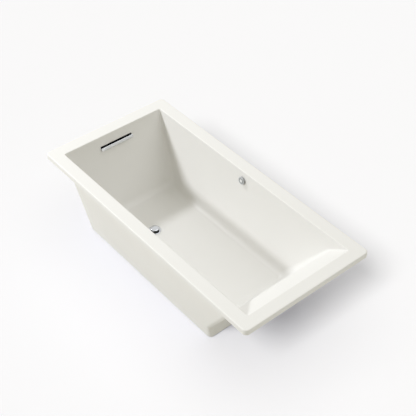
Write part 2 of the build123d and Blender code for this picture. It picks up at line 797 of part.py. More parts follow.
# Base board under the basin floor, on two bearers, with blocks beside the waste
board_length = board_end - board_start
board_centre_x = (board_start + board_end) / 2
board_bottom_z = shell_under_z - board_thickness
screw_step = (board_length - 2 * board_screw_ends) / (board_screw_rows - 1)
screw_head_taper = tan(radians(board_screw_head_angle / 2))
screw_head_height = (board_screw_head_radius - board_screw_radius) / screw_head_taper
board_top = Plane(origin=(board_centre_x, 0, shell_under_z), z_dir=(0, 0, 1))
with BuildPart() as base_board:
    with BuildSketch(board_top):
        RectangleRounded(board_length, board_width, board_screw_head_radius)
    extrude(amount=-board_thickness)
    with Locations(board_top):
        with GridLocations(screw_step, bearer_distance, board_screw_rows, 2):
            CounterSinkHole(
                radius=board_screw_radius + screw_clearance,
                counter_sink_radius=board_screw_head_radius + screw_clearance,
                counter_sink_angle=board_screw_head_angle,
            )
base_board.part.label = "base_board"
export_step(base_board.part, "parts/base_board.step")

with BuildPart() as floor_bearers:
    with BuildSketch(Plane(origin=(board_centre_x, 0, 0), z_dir=(0, 0, 1))):
        with GridLocations(0, bearer_distance, 1, 2):
            Rectangle(board_length - 2 * bearer_inset, bearer_width)
    extrude(amount=board_bottom_z)
    with BuildSketch(board_top):
        with GridLocations(screw_step, bearer_distance, board_screw_rows, 2):
            Circle(board_screw_radius + screw_clearance)
    extrude(amount=-board_screw_length - 2 * screw_clearance, mode=Mode.SUBTRACT)
floor_bearers.part.label = "floor_bearers"
export_step(floor_bearers.part, "parts/floor_bearers.step")

with BuildPart() as board_screws:
    with Locations(board_top):
        with GridLocations(screw_step, bearer_distance, board_screw_rows, 2):
            Cylinder(board_screw_radius, board_screw_length, align=(Align.CENTER, Align.CENTER, Align.MAX))
            Cone(
                board_screw_radius,
                board_screw_head_radius,
                screw_head_height,
                align=(Align.CENTER, Align.CENTER, Align.MAX),
            )
board_screws.part.label = "board_screws"
export_step(board_screws.part, "parts/board_screws.step")

with BuildPart() as drain_blocks:
    with BuildSketch(Plane(origin=(block_centre_x, 0, 0), z_dir=(0, 0, 1))):
        with GridLocations(0, block_distance, 1, 2):
            Rectangle(block_length, block_width)
    extrude(amount=shell_under_z)
drain_blocks.part.label = "drain_blocks"
export_step(drain_blocks.part, "parts/drain_blocks.step")

# Timber battens glued under the rim
side_batten_y = bath_width / 2 - lip_thickness - batten_lip_gap - batten_width / 2
end_batten_x = bath_length / 2 - lip_thickness - batten_lip_gap - batten_width / 2
with BuildPart() as side_battens:
    with BuildSketch(Plane.XY.offset(jacket_top_z)):
        with GridLocations(0, 2 * side_batten_y, 1, 2):
            Rectangle(batten_side_length, batten_width)
    extrude(amount=-batten_height)
side_battens.part.label = "side_battens"
export_step(side_battens.part, "parts/side_battens.step")

with BuildPart() as drain_end_batten:
    with BuildSketch(Plane.XY.offset(jacket_top_z)):
        with Locations((-end_batten_x, 0)):
            Rectangle(batten_width, batten_end_length)
    extrude(amount=-batten_height)
drain_end_batten.part.label = "drain_end_batten"
export_step(drain_end_batten.part, "parts/drain_end_batten.step")

with BuildPart() as backrest_batten:
    with BuildSketch(Plane.XY.offset(jacket_top_z)):
        with Locations((end_batten_x, 0)):
            Rectangle(batten_width, batten_end_length)
    extrude(amount=-batten_height)
backrest_batten.part.label = "backrest_batten"
export_step(backrest_batten.part, "parts/backrest_batten.step")

# Heating mat on the back of the backrest, and the control box under the far rim
mat_z = floor_z + mat_centre_share * (crease_z(0) - floor_z)
mat_plane = Plane(
    origin=(backrest_x(mat_z, 0), 0, mat_z),
    x_dir=(0, 1, 0),
    z_dir=(cos(radians(backrest_lean)), 0, -sin(radians(backrest_lean))),
).offset(shell_wall)
with BuildPart() as heating_mat:
    with BuildSketch(mat_plane):
        RectangleRounded(mat_width, mat_length, mat_corner_radius)
    extrude(amount=mat_thickness)
heating_mat.part.label = "heating_mat"
export_step(heating_mat.part, "parts/heating_mat.step")

box_start_x = button_x + button_nut_radius + control_box_gap
box_top_z = bath_height - control_box_rim_gap
box_back_y = side_half_width(box_top_z - control_box_height, side_skin)
jacket_side_plane = Plane(origin=jacket_face_plane.origin, x_dir=(1, 0, 0), z_dir=-jacket_face_plane.z_dir)
with BuildPart() as control_box:
    with BuildSketch(Plane.XY.offset(box_top_z)):
        with Locations((box_start_x + control_box_length / 2, box_back_y + control_box_depth / 2)):
            RectangleRounded(control_box_length, control_box_depth, control_box_radius)
    extrude(amount=-control_box_height)
    split(bisect_by=jacket_side_plane, keep=Keep.TOP)
control_box.part.label = "control_box"
export_step(control_box.part, "parts/control_box.step")

gland_y = box_back_y + control_box_depth / 2
gland_z = box_top_z - control_box_height / 2
gland_plane = Plane(
    origin=(box_start_x + control_box_length, gland_y, gland_z), x_dir=(0, 1, 0), z_dir=(1, 0, 0)
)
with BuildPart() as control_box_gland:
    with BuildSketch(gland_plane):
        RegularPolygon(gland_radius, 6)
        Circle(gland_radius / 2, mode=Mode.SUBTRACT)
    extrude(amount=gland_length)
control_box_gland.part.label = "control_box_gland"
export_step(control_box_gland.part, "parts/control_box_gland.step")
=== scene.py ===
# %% [markdown]
# # A drop-in bath
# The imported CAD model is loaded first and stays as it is: it gives every size and every moving body.
# The lesson then dresses it. Wide smooth skins are worked out with numpy, small turned parts get
# softer edges than the solids have, and every part gets a finish made of shader nodes.

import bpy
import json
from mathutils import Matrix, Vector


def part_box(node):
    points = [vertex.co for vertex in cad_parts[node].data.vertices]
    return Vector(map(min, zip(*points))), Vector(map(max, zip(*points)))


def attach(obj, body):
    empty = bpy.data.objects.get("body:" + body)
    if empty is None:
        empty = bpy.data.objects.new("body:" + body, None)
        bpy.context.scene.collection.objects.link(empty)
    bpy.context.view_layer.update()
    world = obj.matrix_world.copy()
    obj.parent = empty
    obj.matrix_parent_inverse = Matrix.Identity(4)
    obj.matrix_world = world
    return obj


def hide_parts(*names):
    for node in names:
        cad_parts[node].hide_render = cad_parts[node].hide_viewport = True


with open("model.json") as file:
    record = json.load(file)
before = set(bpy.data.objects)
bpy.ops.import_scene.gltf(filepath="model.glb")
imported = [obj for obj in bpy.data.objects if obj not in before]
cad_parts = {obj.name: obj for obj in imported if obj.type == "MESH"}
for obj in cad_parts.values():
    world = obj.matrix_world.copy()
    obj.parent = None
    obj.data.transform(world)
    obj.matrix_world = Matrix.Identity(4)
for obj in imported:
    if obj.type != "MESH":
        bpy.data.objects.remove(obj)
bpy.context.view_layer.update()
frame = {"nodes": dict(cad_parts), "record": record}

# %% Tools
import json
import math

import bpy
import numpy as np
from mathutils import Vector

MM = 0.001

# %% [markdown]
# ## The camera
# A catalogue picture of a bath is taken with a long lens from above one corner, so that the long
# sides stay nearly parallel. A camera can be aimed by a constraint or by plain angles. Here it is put
# on a ray from a target point, by azimuth and elevation, because those two angles are what was
# measured, and the lens length follows from how wide the bath is in the picture.

# %% Camera
AZIMUTH, ELEVATION, DISTANCE = 50.28131, 42.34382, 4.86852
TARGET = Vector((0.0847, -0.00285, 0.508))
FOCAL_LENGTH = 81.35

azimuth, elevation = math.radians(AZIMUTH), math.radians(ELEVATION)
towards_camera = Vector((
    math.sin(azimuth) * math.cos(elevation),
    -math.cos(azimuth) * math.cos(elevation),
    math.sin(elevation),
))
lens = bpy.data.cameras.new("camera")
lens.lens, lens.sensor_width, lens.clip_end = FOCAL_LENGTH, 36.0, 200.0
camera = bpy.data.objects.new("camera", lens)
camera.location = TARGET + DISTANCE * towards_camera
camera.rotation_euler = towards_camera.to_track_quat("Z", "Y").to_euler()
bpy.context.scene.collection.objects.link(camera)
bpy.context.scene.camera = camera
bpy.context.scene.view_settings.view_transform = "Standard"
print("camera stands at", [round(v, 3) for v in camera.location])

# %% [markdown]
# ## Colour and shader nodes
# Paint charts and pictures give colours as sRGB hex values, but a renderer adds light up in linear
# values, so each colour goes through one converter. Materials are trees of nodes. Two small helpers
# set a node's inputs and add a node, and the others stand for the nodes that nearly every finish
# needs. Each of those gives back a socket, so that a recipe reads like a formula.

# %% Colour and node helpers
MIX_SHARE, MIX_FIRST, MIX_SECOND, MIX_RESULT = 0, 6, 7, 2  # the sockets of a mix node that serve colours


def linear(hex_value):
    """Linear RGBA of an sRGB hex colour: c / 12.92 below 0.04045, else ((c + 0.055) / 1.055) ** 2.4."""
    srgb = np.array([int(hex_value[i:i + 2], 16) for i in (0, 2, 4)]) / 255
    rgb = np.where(srgb <= 0.04045, srgb / 12.92, ((srgb + 0.055) / 1.055) ** 2.4)
    return (*rgb.tolist(), 1.0)


def feed(node, inputs):
    """Each of those inputs gets a value, or a link where the value is another node's socket."""
    for socket, value in inputs.items():
        if isinstance(value, bpy.types.NodeSocket):
            node.id_data.links.new(value, node.inputs[socket])
        else:
            node.inputs[socket].default_value = value


def add(near, kind, inputs=None, **settings):
    """One more node in the tree that near belongs to; settings are the node's own choices."""
    made = near.id_data.nodes.new(kind)
    for name, value in settings.items():
        setattr(made, name, value)
    feed(made, inputs or {})
    return made


def noise(place, length, detail):
    """A cloudy value from 0 to 1 in patches about that many metres long."""
    cloud = add(place, "ShaderNodeTexNoise", {"Vector": place, "Scale": 1 / length, "Detail": detail})
    return cloud.outputs["Fac"]


def stretched(place, scale):
    """The place with its axes scaled: a pattern drawn from it is longer where the scale is small."""
    return add(place, "ShaderNodeMapping", {"Vector": place, "Scale": scale}).outputs[0]


def between(low, high, share):
    """A number that runs from low to high as the share runs from 0 to 1."""
    return add(share, "ShaderNodeMapRange", {"Value": share, "To Min": low, "To Max": high}).outputs[0]


def blend(first, second, share):
    """A colour that runs from the first to the second, each a hex value or a socket."""
    first, second = (linear(colour) if isinstance(colour, str) else colour for colour in (first, second))
    mix = add(share, "ShaderNodeMix", {MIX_SHARE: share, MIX_FIRST: first, MIX_SECOND: second},
              data_type="RGBA")
    return mix.outputs[MIX_RESULT]


def raised(height, depth, strength):
    """A normal tilted as if a height from 0 to 1 lifted the surface by up to that depth in metres."""
    bump = add(height, "ShaderNodeBump", {"Height": height, "Strength": strength, "Distance": depth})
    return bump.outputs[0]


def new_finish(name):
    """A new material with its surface shader and the place on the object, in metres."""
    material = bpy.data.materials.new(name)
    material.use_nodes = True
    shader = material.node_tree.nodes["Principled BSDF"]
    place = add(shader, "ShaderNodeTexCoord").outputs["Object"]
    return material, shader, place


print("white in linear light:", [round(v, 3) for v in linear("F4F3EF")[:3]])

# %% [markdown]
# ## The studio
# The bath stands on a pale floor that runs out of the picture. The floor sends back less light than
# the camera sees, or the sides of the bath lose their shading. Its paint is a little blue and the
# light on it a little warm, so that the floor and its shadow both come out grey.

# %% Floor
FLOOR_HALF_SIZE = 60.0
floor_points = FLOOR_HALF_SIZE * np.array([[-1, -1, 0], [1, -1, 0], [1, 1, 0], [-1, 1, 0]])
floor_mesh = bpy.data.meshes.new("floor")
floor_mesh.from_pydata(floor_points.tolist(), [], [(0, 1, 2, 3)])
floor_paint, shader, _ = new_finish("matt_floor_paint")
seen_directly = add(shader, "ShaderNodeLightPath").outputs["Is Camera Ray"]
feed(shader, {
    "Base Color": blend("D4D6E2", "E6E9FE", seen_directly),
    "Roughness": 1.0,
    "Specular IOR Level": 0.0,
})
floor_mesh.materials.append(floor_paint)
floor = bpy.data.objects.new("floor", floor_mesh)
bpy.context.scene.collection.objects.link(floor)
print("floor reaches", FLOOR_HALF_SIZE, "metres to each side")

# %% [markdown]
# The sky is a little warm. It is dimmer for surfaces than for rays that see it or mirror it, because
# the lamps give most of the light while the background stays nearly white.

# %% Sky
SKY_COLOUR, SKY_ON_SURFACES, BACKGROUND = "FFFBE6", 0.395, "F9F9F9"
world = bpy.data.worlds.new("sky")
world.use_nodes = True
bpy.context.scene.world = world
world.node_tree.nodes.clear()
rays = add(world.node_tree, "ShaderNodeLightPath").outputs
seen = rays["Is Camera Ray"]
for kind in ("Is Glossy Ray", "Is Transmission Ray"):
    seen = add(seen, "ShaderNodeMath", {0: seen, 1: rays[kind]}, operation="MAXIMUM").outputs[0]
dim, bright = (
    add(seen, "ShaderNodeBackground", {"Color": linear(colour), "Strength": strength}).outputs[0]
    for colour, strength in ((SKY_COLOUR, SKY_ON_SURFACES), (BACKGROUND, 1.0)))
sky = add(seen, "ShaderNodeMixShader", {0: seen, 1: dim, 2: bright})
add(seen, "ShaderNodeOutputWorld", {"Surface": sky.outputs[0]})
print("the sky lights surfaces with", SKY_ON_SURFACES, "of full strength")

# %% [markdown]
# A white bath on white needs light from one side, or its walls run together. A key lamp at the drain
# end lights the rim, a lower lamp beside it rakes over the far wall, and a weak wide fill comes from
# behind. These are a little cool, which turns the shadows in the bath warm. Flags would keep them off
# the floor, which has lamps of its own in the sky's colour, so that its shadow falls to the right
# only; here light linking does the flags' work. The key and the raking lamp are discs nine metres
# away, aimed at the drain's half of the bath, because the rim is a little dimmer at its far end. The
# others are suns, whose light is even.

# %% Lamps
LAMP_COLOUR, LAMP_AIM, LAMP_DISTANCE = "F7F9FF", Vector((-0.45, 0.0, 0.3)), 9.0
LAMPS = {  # kind; azimuth it comes from, elevation and disc in degrees; light on a face turned to it
    "key_lamp": ("AREA", 196, 46, 6, 0.43),
    "raking_lamp": ("AREA", 244, 29, 6, 0.45),
    "fill_lamp": ("SUN", 60, 60, 60, 0.29),
    "floor_lamp": ("SUN", 291, 49, 20, 0.67),
    "floor_fill": ("SUN", 0, 89, 80, 0.305),
}
for name, (kind, bearing, height, disc, light) in LAMPS.items():
    bearing, height, disc = math.radians(bearing), math.radians(height), math.radians(disc)
    towards_lamp = Vector((
        math.cos(bearing) * math.cos(height),
        math.sin(bearing) * math.cos(height),
        math.sin(height),
    ))
    source = bpy.data.lights.new(name, kind)
    if kind == "AREA":
        source.shape, source.size = "DISK", 2 * LAMP_DISTANCE * math.tan(disc / 2)
        source.energy = math.pi ** 2 * LAMP_DISTANCE ** 2 * light
    else:
        source.energy, source.angle = math.pi * light, disc
    on_floor = name.startswith("floor")
    source.color = linear(SKY_COLOUR if on_floor else LAMP_COLOUR)[:3]
    lamp = bpy.data.objects.new(name, source)
    lamp.location = LAMP_AIM + LAMP_DISTANCE * towards_lamp
    lamp.rotation_euler = towards_lamp.to_track_quat("Z", "Y").to_euler()
    bpy.context.scene.collection.objects.link(lamp)
    flags = bpy.data.collections.new(name + "_flags")
    flags.objects.link(floor)
    flags.collection_objects[0].light_linking.link_state = "INCLUDE" if on_floor else "EXCLUDE"
    lamp.light_linking.receiver_collection = flags
    print(name, "stands towards", [round(v, 2) for v in towards_lamp])

# %% [markdown]
# ## The white of the bath
# The bath itself is cast acrylic sheet, drawn by vacuum over a mould while hot. It comes off the mould
# with an even soft gloss, a slightly warm white, and a very shallow waviness a few centimetres long that
# only bends reflections. A noise of that length goes into the bump and varies the gloss a little, and
# a wider one shifts the white.

# %% Cast acrylic
cast_acrylic, shader, place = new_finish("cast_acrylic_vacuum_formed")
wave = noise(place, 35 * MM, 1.0)
feed(shader, {
    "Base Color": blend("E9E8E5", "EBEAE7", noise(place, 180 * MM, 2.0)),
    "Roughness": between(0.40, 0.46, wave),
    "IOR": 1.49,
    "Specular IOR Level": 0.35,
    "Normal": raised(wave, 0.4 * MM, 0.06),
})
print(cast_acrylic.name)

# %% [markdown]
# The outside of the bath is a white gelcoat skin laid up in a mould by hand. It is satin, and the
# glass mat behind it shows through as a shallow grain of short crossing strands, a few millimetres
# long. Two stretched noises laid across each other give that grain.

# %% Gelcoat skin
gelcoat, shader, place = new_finish("gelcoat_hand_laid")
one_way, other_way = (noise(stretched(place, scale), 7 * MM, 2.0)
                      for scale in ((1.0, 0.3, 0.3), (0.3, 0.3, 1.0)))
strands = add(place, "ShaderNodeMath", {0: one_way, 1: other_way}, operation="ADD").outputs[0]
feed(shader, {
    "Base Color": blend("E8E7E3", "EBEAE6", noise(place, 120 * MM, 2.0)),
    "Roughness": 0.42,
    "IOR": 1.5,
    "Normal": raised(strands, 0.3 * MM, 0.12),
})
print(gelcoat.name)

# %% [markdown]
# ## Metals
# The overflow bar, drain flange and stopper are brass plated with polished chromium: a cool, bright,
# nearly neutral mirror. Faint wiping marks break the reflection, so the roughness follows a fine
# stretched noise. The hidden screws are zinc-plated steel, greyer and mottled, and the stopper's post
# is turned brass with the fine rings that a lathe leaves.

# %% Chromium plate, zinc plate and turned brass
chromium, shader, place = new_finish("chromium_plate_polished")
wipes = noise(stretched(place, (1.0, 0.15, 1.0)), 2 * MM, 3.0)
feed(shader, {
    "Base Color": linear("D2D4D6"),
    "Metallic": 1.0,
    "Roughness": between(0.05, 0.12, wipes),
})

zinc, shader, place = new_finish("zinc_plate_on_steel")
spangle = add(place, "ShaderNodeTexVoronoi", {"Vector": place, "Scale": 1 / (1.5 * MM)}).outputs["Distance"]
feed(shader, {
    "Base Color": blend("A9ACAE", "C6C8C9", spangle),
    "Metallic": 1.0,
    "Roughness": between(0.3, 0.45, spangle),
})

brass, shader, place = new_finish("brass_turned")
rings = add(place, "ShaderNodeTexWave", {"Vector": place, "Scale": 1 / (3 * MM), "Distortion": 0.4},
            bands_direction="Z").outputs["Fac"]
feed(shader, {
    "Base Color": linear("D8B765"),
    "Metallic": 1.0,
    "Roughness": between(0.18, 0.3, rings),
})
print([finish.name for finish in (chromium, zinc, brass)])

# %% [markdown]
# ## Plastics and rubber
# The waste pipes are extruded and moulded white PVC, smooth and slightly glossy, with a faint cloudiness.
# The hidden housings are black ABS from a fine-textured mould, so a sub-millimetre grain roughens them.
# The button is ABS with a silver-grey satin coat and a pale disc in its middle, and its ring is a
# frosted polycarbonate light guide. The disc is where the coat is left off round the button's axis: the
# distance from an axis is the length of the cross product with it. Seals are black moulded rubber with a
# dusty bloom.

# %% Pipe plastic and black housing plastic
pipe_plastic, shader, place = new_finish("pvc_extruded_white")
cloud = noise(place, 25 * MM, 3.0)
feed(shader, {
    "Base Color": blend("E6E6E2", "EFEFEB", cloud),
    "Roughness": 0.3,
    "Normal": raised(cloud, 0.2 * MM, 0.1),
})

housing, shader, place = new_finish("abs_moulded_black")
grain = noise(place, 0.8 * MM, 2.0)
feed(shader, {
    "Base Color": blend("26272A", "313236", grain),
    "Roughness": 0.5,
    "Normal": raised(grain, 0.1 * MM, 0.35),
})
print(pipe_plastic.name, housing.name)

# %% Button plastic, light guide and rubber
WALL_LEAN = math.radians(6.2)
BUTTON_HUB = (-15 * MM, 324.92 * MM, 452 * MM)  # where its axis leaves the leaning wall
BUTTON_AXIS = (0.0, -math.cos(WALL_LEAN), math.sin(WALL_LEAN))
BARE_RADIUS, COATED_RADIUS = 8.5 * MM, 9.5 * MM  # the coat begins between these
button_coat, shader, place = new_finish("abs_silver_satin_coat")
flakes = noise(place, 0.5 * MM, 1.0)
from_hub = add(place, "ShaderNodeVectorMath", {0: place, 1: BUTTON_HUB}, operation="SUBTRACT").outputs[0]
across = add(place, "ShaderNodeVectorMath", {0: from_hub, 1: BUTTON_AXIS}, operation="CROSS_PRODUCT")
from_axis = add(place, "ShaderNodeVectorMath", {0: across.outputs[0]}, operation="LENGTH").outputs["Value"]
bare = add(place, "ShaderNodeMapRange", {"Value": from_axis, "From Min": BARE_RADIUS,
           "From Max": COATED_RADIUS, "To Min": 1.0, "To Max": 0.0}).outputs[0]
feed(shader, {
    "Base Color": blend(blend("A0A2A4", "AEB0B2", flakes), "F2F3F3", bare),
    "Metallic": 0.2,
    "Roughness": 0.35,
})

light_guide, shader, place = new_finish("polycarbonate_frosted")
feed(shader, {
    "Base Color": blend("DADDE0", "E6E8EA", noise(place, 0.6 * MM, 2.0)),
    "Roughness": 0.45,
    "IOR": 1.58,
    "Subsurface Weight": 0.2,
    "Subsurface Radius": (2 * MM, 2 * MM, 2 * MM),
})

rubber, shader, place = new_finish("rubber_moulded_black")
bloom = noise(place, 4 * MM, 4.0)
feed(shader, {
    "Base Color": blend("1F1F21", "36363A", bloom),
    "Roughness": between(0.6, 0.8, bloom),
})
print(button_coat.name, light_guide.name, rubber.name)

# %% [markdown]
# ## Wood
# Under the basin lie a particle board, two bearers and blocks, and battens run under the rim. Sawn
# softwood shows straight bands of early and late wood a few millimetres wide along the length, bent a
# little, with fine pores. Particle board is pressed chips: pale flakes of a few millimetres in darker
# glue. Both are drawn in the material, since the bands run through the solid wood.

# %% Sawn softwood
softwood, shader, place = new_finish("spruce_sawn")
along = stretched(place, (0.06, 1.0, 1.0))
bands = add(place, "ShaderNodeTexWave", {"Vector": along, "Scale": 1 / (12 * MM), "Distortion": 3.0,
            "Detail": 2.0, "Detail Scale": 1.5}, bands_direction="Z").outputs["Fac"]
pores = noise(along, 0.9 * MM, 3.0)
wood = add(place, "ShaderNodeMix", {MIX_SHARE: 1.0, MIX_FIRST: blend("E0C394", "C79D63", bands),
           MIX_SECOND: between(0.86, 1.0, pores)}, data_type="RGBA", blend_type="MULTIPLY")
feed(shader, {
    "Base Color": wood.outputs[MIX_RESULT],
    "Roughness": 0.72,
    "Normal": raised(pores, 0.3 * MM, 0.4),
})
print(softwood.name)

# %% Particle board
chip_board, shader, place = new_finish("particle_board_pressed")
flat = stretched(place, (1.0, 1.0, 2.5))
chips = add(place, "ShaderNodeTexVoronoi", {"Vector": flat, "Scale": 1 / (5 * MM),
            "Randomness": 1.0}).outputs
pale = add(place, "ShaderNodeValToRGB", {"Fac": chips["Color"]})
for element, colour in zip(pale.color_ramp.elements, ("9C7C52", "CDB083")):
    element.color = linear(colour)
feed(shader, {
    "Base Color": pale.outputs[0],
    "Roughness": 0.8,
    "Normal": raised(chips["Distance"], 0.3 * MM, 0.3),
})
print(chip_board.name)

# %% [markdown]
# The heating mat on the back of the backrest is silicone rubber calendered onto a resistance wire. The
# wire runs to and fro and stands up a little under the skin, so a wave across the mat, one band every
# 18 mm, gives both the ridge and a slightly lighter line.

# %% Silicone heating mat
WAVE_PERIOD = 0.3142  # a wave texture repeats after pi / 10 of its scaled length
silicone, shader, place = new_finish("silicone_mat_calendered")
wires = add(place, "ShaderNodeTexWave", {"Vector": place, "Scale": WAVE_PERIOD / (18 * MM),
            "Distortion": 0.0}, bands_direction="Y").outputs["Fac"]
feed(shader, {
    "Base Color": blend("B4602F", "C4713E", wires),
    "Roughness": 0.55,
    "Normal": raised(wires, 0.6 * MM, 0.5),
})

FINISHES = {
    "white_acrylic": cast_acrylic, "backing_skin": gelcoat, "board": chip_board, "timber": softwood,
    "zinc_steel": zinc, "chrome": chromium, "rubber": rubber, "white_pipe": pipe_plastic,
    "black_plastic": housing, "grey_plastic": button_coat, "brass": brass, "lens": light_guide,
    "mat": silicone,
}
print(len(FINISHES), "finishes")

# %% [markdown]
# Every CAD part gets its finish by the slot that the record names. Parts that a finer skin replaces
# further on keep it too, since their solids stay in the file for the physics.

# %% Dress the CAD parts
SLOTS = {part["node"]: part["material_slot"] for part in frame["record"]["subparts"]}
for name, slot in SLOTS.items():
    materials = frame["nodes"][name].data.materials
    materials.clear()
    materials.append(FINISHES[slot])
print("dressed", len(SLOTS), "nodes")

# %% [markdown]
# ## From numbers to skins
# A skin is a grid of points: rows follow a profile and columns go round. Neighbouring points make a
# quad. A closed profile joins its last row to its first, and an open one is shut by one flat face at
# each end. Columns that turn anticlockwise seen from outside the axis, with rows that climb the outer
# side, make every face look outwards.

# %% Grid helpers
SHARP_ANGLE = math.radians(35.0)


def skin(points, closed=False):
    """Points and faces of a grid (rows, columns, 3) whose columns go all the way round.

    Point (r, c) has number r * columns + c. A quad joins (r, c), (r, c + 1), (r + 1, c + 1) and
    (r + 1, c). A closed skin also joins its last row to its first; an open one gets two end faces.
    """
    rows, columns = points.shape[:2]
    r = np.arange(rows if closed else rows - 1)[:, None]
    c = np.arange(columns)[None, :]
    up, side = (r + 1) % rows, (c + 1) % columns
    quads = np.stack([r * columns + c, r * columns + side, up * columns + side, up * columns + c], -1)
    faces = quads.reshape(-1, 4).tolist()
    if not closed:
        first = np.arange(columns)
        faces += [first[::-1].tolist(), (first + (rows - 1) * columns).tolist()]
    return points.reshape(-1, 3), faces


def smooth(mesh):
    """Smooth shading everywhere but at edges that turn more than SHARP_ANGLE, which stay crisp."""
    mesh.shade_smooth()
    mesh.set_sharp_from_angle(angle=SHARP_ANGLE)
    return mesh


def make_mesh(name, skins):
    """One smooth mesh from several skins in millimetres."""
    starts = np.cumsum([0] + [len(points) for points, _ in skins])
    points = np.concatenate([points for points, _ in skins]) * MM
    faces = [[i + int(start) for i in face] for start, (_, some) in zip(starts, skins) for face in some]
    mesh = bpy.data.meshes.new(name)
    mesh.from_pydata(points.tolist(), [], faces)
    return smooth(mesh)


def show(mesh, node, body="bath"):
    """The mesh as a finished piece that replaces a CAD node, with that node's finish, on a body."""
    piece = bpy.data.objects.new(mesh.name, mesh)
    bpy.context.scene.collection.objects.link(piece)
    mesh.materials.clear()
    mesh.materials.append(FINISHES[SLOTS[node]])
    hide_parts(node)
    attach(piece, body)
    low, high = np.array(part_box(node)) / MM
    points = np.array([v.co for v in mesh.vertices]) / MM
    off = max(np.abs(points.min(0) - low).max(), np.abs(points.max(0) - high).max())
    print(mesh.name, len(mesh.polygons), "faces; off its solid's box by", round(float(off), 2), "mm")


print("edges that turn more than", round(math.degrees(SHARP_ANGLE)), "degrees stay crisp")

# %% [markdown]
# Holes are cut last, by taking away simple solids with Blender's exact Boolean. All of them lie in
# flat walls, where new edges cannot disturb the shading, and the result is kept as a plain mesh.
# Fittings are drawn in their wall's own frame and then placed, most of them as a profile that is
# turned round an axis.

# %% Cutting, placing and turning
def cut(mesh, *tools):
    """The mesh with the volumes of the tool meshes taken away."""
    body = bpy.data.objects.new("work", mesh)
    bpy.context.scene.collection.objects.link(body)
    helpers = [bpy.data.objects.new("tool", tool) for tool in tools]
    for helper in helpers:
        bpy.context.scene.collection.objects.link(helper)
        step = body.modifiers.new("cut", "BOOLEAN")
        step.operation, step.solver, step.object = "DIFFERENCE", "EXACT", helper
    result = bpy.data.meshes.new_from_object(body.evaluated_get(bpy.context.evaluated_depsgraph_get()))
    name, mesh.name = mesh.name, "uncut"
    for helper in [body, *helpers]:
        bpy.data.objects.remove(helper)
    result.name = name
    return smooth(result)


def placed(local, origin, across, out):
    """Local (x, y, z) put in the bath: origin + x across + y up + z out, where up = out x across."""
    across, out = np.array(across, float), np.array(out, float)
    return np.array(origin) + local @ np.stack([across, np.cross(out, across), out])


def turned(profile, origin, across, out, columns=96):
    """A profile of (radius, height) swept round the axis out: (r cos a, r sin a, h) for a full turn."""
    angle = np.linspace(0, 2 * np.pi, columns, endpoint=False)
    radius, height = np.array(profile, float).T[:, :, None]
    local = np.stack([radius * np.cos(angle), radius * np.sin(angle), height + 0 * angle], -1)
    return placed(local, origin, across, out)


def eased(corners, radius, steps=5, closed=True):
    """A profile with its corners turned into arcs, whole arrays at once.

    At a corner with half angle w between its sides, the arc's centre lies radius / sin w along the
    bisector, and the arc runs from radius / tan w before the corner to as far after it.
    """
    p = np.array(corners, float)
    radius = np.broadcast_to(np.array(radius, float), len(p))[:, None, None]
    back, ahead = np.roll(p, 1, 0) - p, np.roll(p, -1, 0) - p
    back /= np.linalg.norm(back, axis=1, keepdims=True)
    ahead /= np.linalg.norm(ahead, axis=1, keepdims=True)
    half = np.arccos(np.clip((back * ahead).sum(1), -1, 1))[:, None, None] / 2
    middle = (back + ahead)[:, None]
    centre = p[:, None] + middle / np.linalg.norm(middle, axis=2, keepdims=True) * radius / np.sin(half)
    start = p[:, None] + back[:, None] * radius / np.tan(half) - centre
    end = p[:, None] + ahead[:, None] * radius / np.tan(half) - centre
    sweep = np.pi - 2 * half
    share = np.linspace(0, 1, steps)[None, :, None]
    arcs = centre + (np.sin((1 - share) * sweep) * start + np.sin(share * sweep) * end) / np.sin(sweep)
    path = arcs.reshape(-1, 2)
    if not closed:
        path = np.concatenate([p[:1], path[steps:-steps], p[-1:]])
    return path[np.concatenate([[True], np.linalg.norm(np.diff(path, axis=0), axis=1) > 1e-6])]


print("eased square:", np.round(eased([(0, 0), (2, 0), (2, 2), (0, 2)], 0.5, 2), 2).tolist())

# %% [markdown]
# ## The bath shell
# The real shell is one sheet of acrylic: a flat rim with a turned-down lip, a steep wall at the drain
# end, two nearly upright long walls, and a backrest that starts as a shallow neck rest. It could be
# a box with bevels, but then each blend would have the same radius. Here every height has its own
# rounded rectangle instead. The four walls lean by their own angles, the corner radius grows from rim
# to floor, and near the floor each wall turns into it along an arc.

# %% Sizes of the shell, in millimetres
LENGTH, WIDTH, HEIGHT = 1676.0, 813.0, 508.0
LIP_BOTTOM, FLOOR, WALL = 478.0, 63.0, 5.0  # heights of the lip's and the basin's lowest points; thickness
DRAIN_X, BACK_X, HALF_WIDTH = -761.0, 768.0, 331.0  # where the walls' straight lines meet the rim
DRAIN_LEAN, SIDE_LEAN, BACK_LEAN, NECK_LEAN = np.radians([19.5, 6.2, 33.9, 90 - 34.4])
NECK_DEPTH, CREASE_SOFTNESS = 78.0, 2.5
RIM_CORNER, CORNER_TOP, CORNER_FLOOR = 25.0, 9.0, 50.0  # corner radii seen from above
RIM_EDGE, INNER_EDGE, FLOOR_ARC = 6.0, 5.0, 45.0  # arcs seen from the side
GUARD = 2.0  # a row this far past an arc keeps the flat part beside it flat
CREASE_X = BACK_X - NECK_DEPTH * math.tan(NECK_LEAN)
print("crease at x", round(CREASE_X, 1), "z", HEIGHT - NECK_DEPTH)


